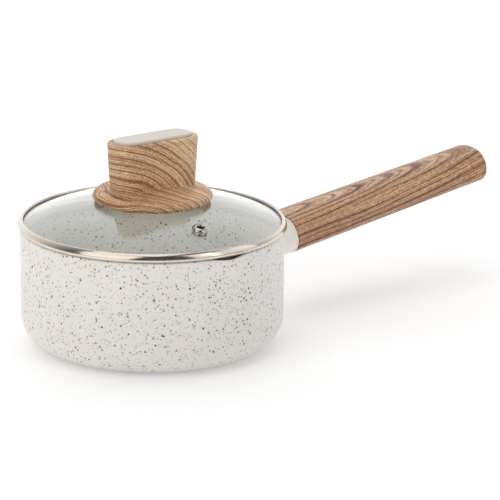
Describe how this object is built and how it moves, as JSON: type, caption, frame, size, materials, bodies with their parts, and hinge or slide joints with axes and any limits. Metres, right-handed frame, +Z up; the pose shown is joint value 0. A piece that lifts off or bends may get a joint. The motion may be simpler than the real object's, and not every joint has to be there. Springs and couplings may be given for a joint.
{
  "type": "saucepan with glass lid",
  "caption": "Small straight-walled saucepan with pouring spouts, a long wood-effect handle, and a domed glass lid with a steel rim, a vent and a wood-effect knob.",
  "frame": {"origin": "centre of the round base, on the face the pan rests on", "axes": "+Z up through the lid's knob; +X along the handle, away from the pot; -Y and +Y through the two pouring spouts, with the lid's steam vent on the -Y side"},
  "size_m": [0.3452, 0.1708, 0.133],
  "materials": {
    "speckled_coating": "off-white stone-effect non-stick coating with fine brown and dark specks, satin",
    "plain_steel": "plain turned or pressed steel",
    "stud_metal": "plain cast metal",
    "cream_coating": "smooth cream coating, satin",
    "handle_wood_effect": "moulded resin with a printed wood-grain effect, satin",
    "plug_plastic": "moulded brown plastic, fine texture",
    "band_steel": "polished stainless steel with faint lines along the rim",
    "lid_glass": "clear toughened glass with a faint green-grey tint",
    "eyelet_steel": "polished steel",
    "silicone": "translucent silicone",
    "knob_wood_effect": "moulded resin with a printed wood-grain effect, satin",
    "cream_inlay": "smooth cream plastic, satin",
    "insert_brass": "turned brass"
  },
  "bodies": {
    "pan": {"pot_body": "speckled_coating", "base_plate": "plain_steel", "handle_stud": "stud_metal", "flame_guard": "cream_coating", "handle_grip": "handle_wood_effect", "handle_screw": "plain_steel", "screw_washer": "plain_steel", "spring_washer": "plain_steel", "end_plug": "plug_plastic"},
    "lid": {"rim_band": "band_steel", "glass_dome": "lid_glass", "vent_eyelet": "eyelet_steel", "vent_seal": "silicone", "vent_washer": "plain_steel", "knob_body": "knob_wood_effect", "knob_inlay": "cream_inlay", "knob_insert": "insert_brass", "knob_screw": "plain_steel", "knob_washer": "plain_steel", "lower_gasket": "silicone", "upper_gasket": "silicone"}
  },
  "joints": [
    {"name": "lid_lift", "type": "slide", "parent": "pan", "child": "lid", "axis": [0, 0, 1], "range_m": [0, 0.15]}
  ]
}
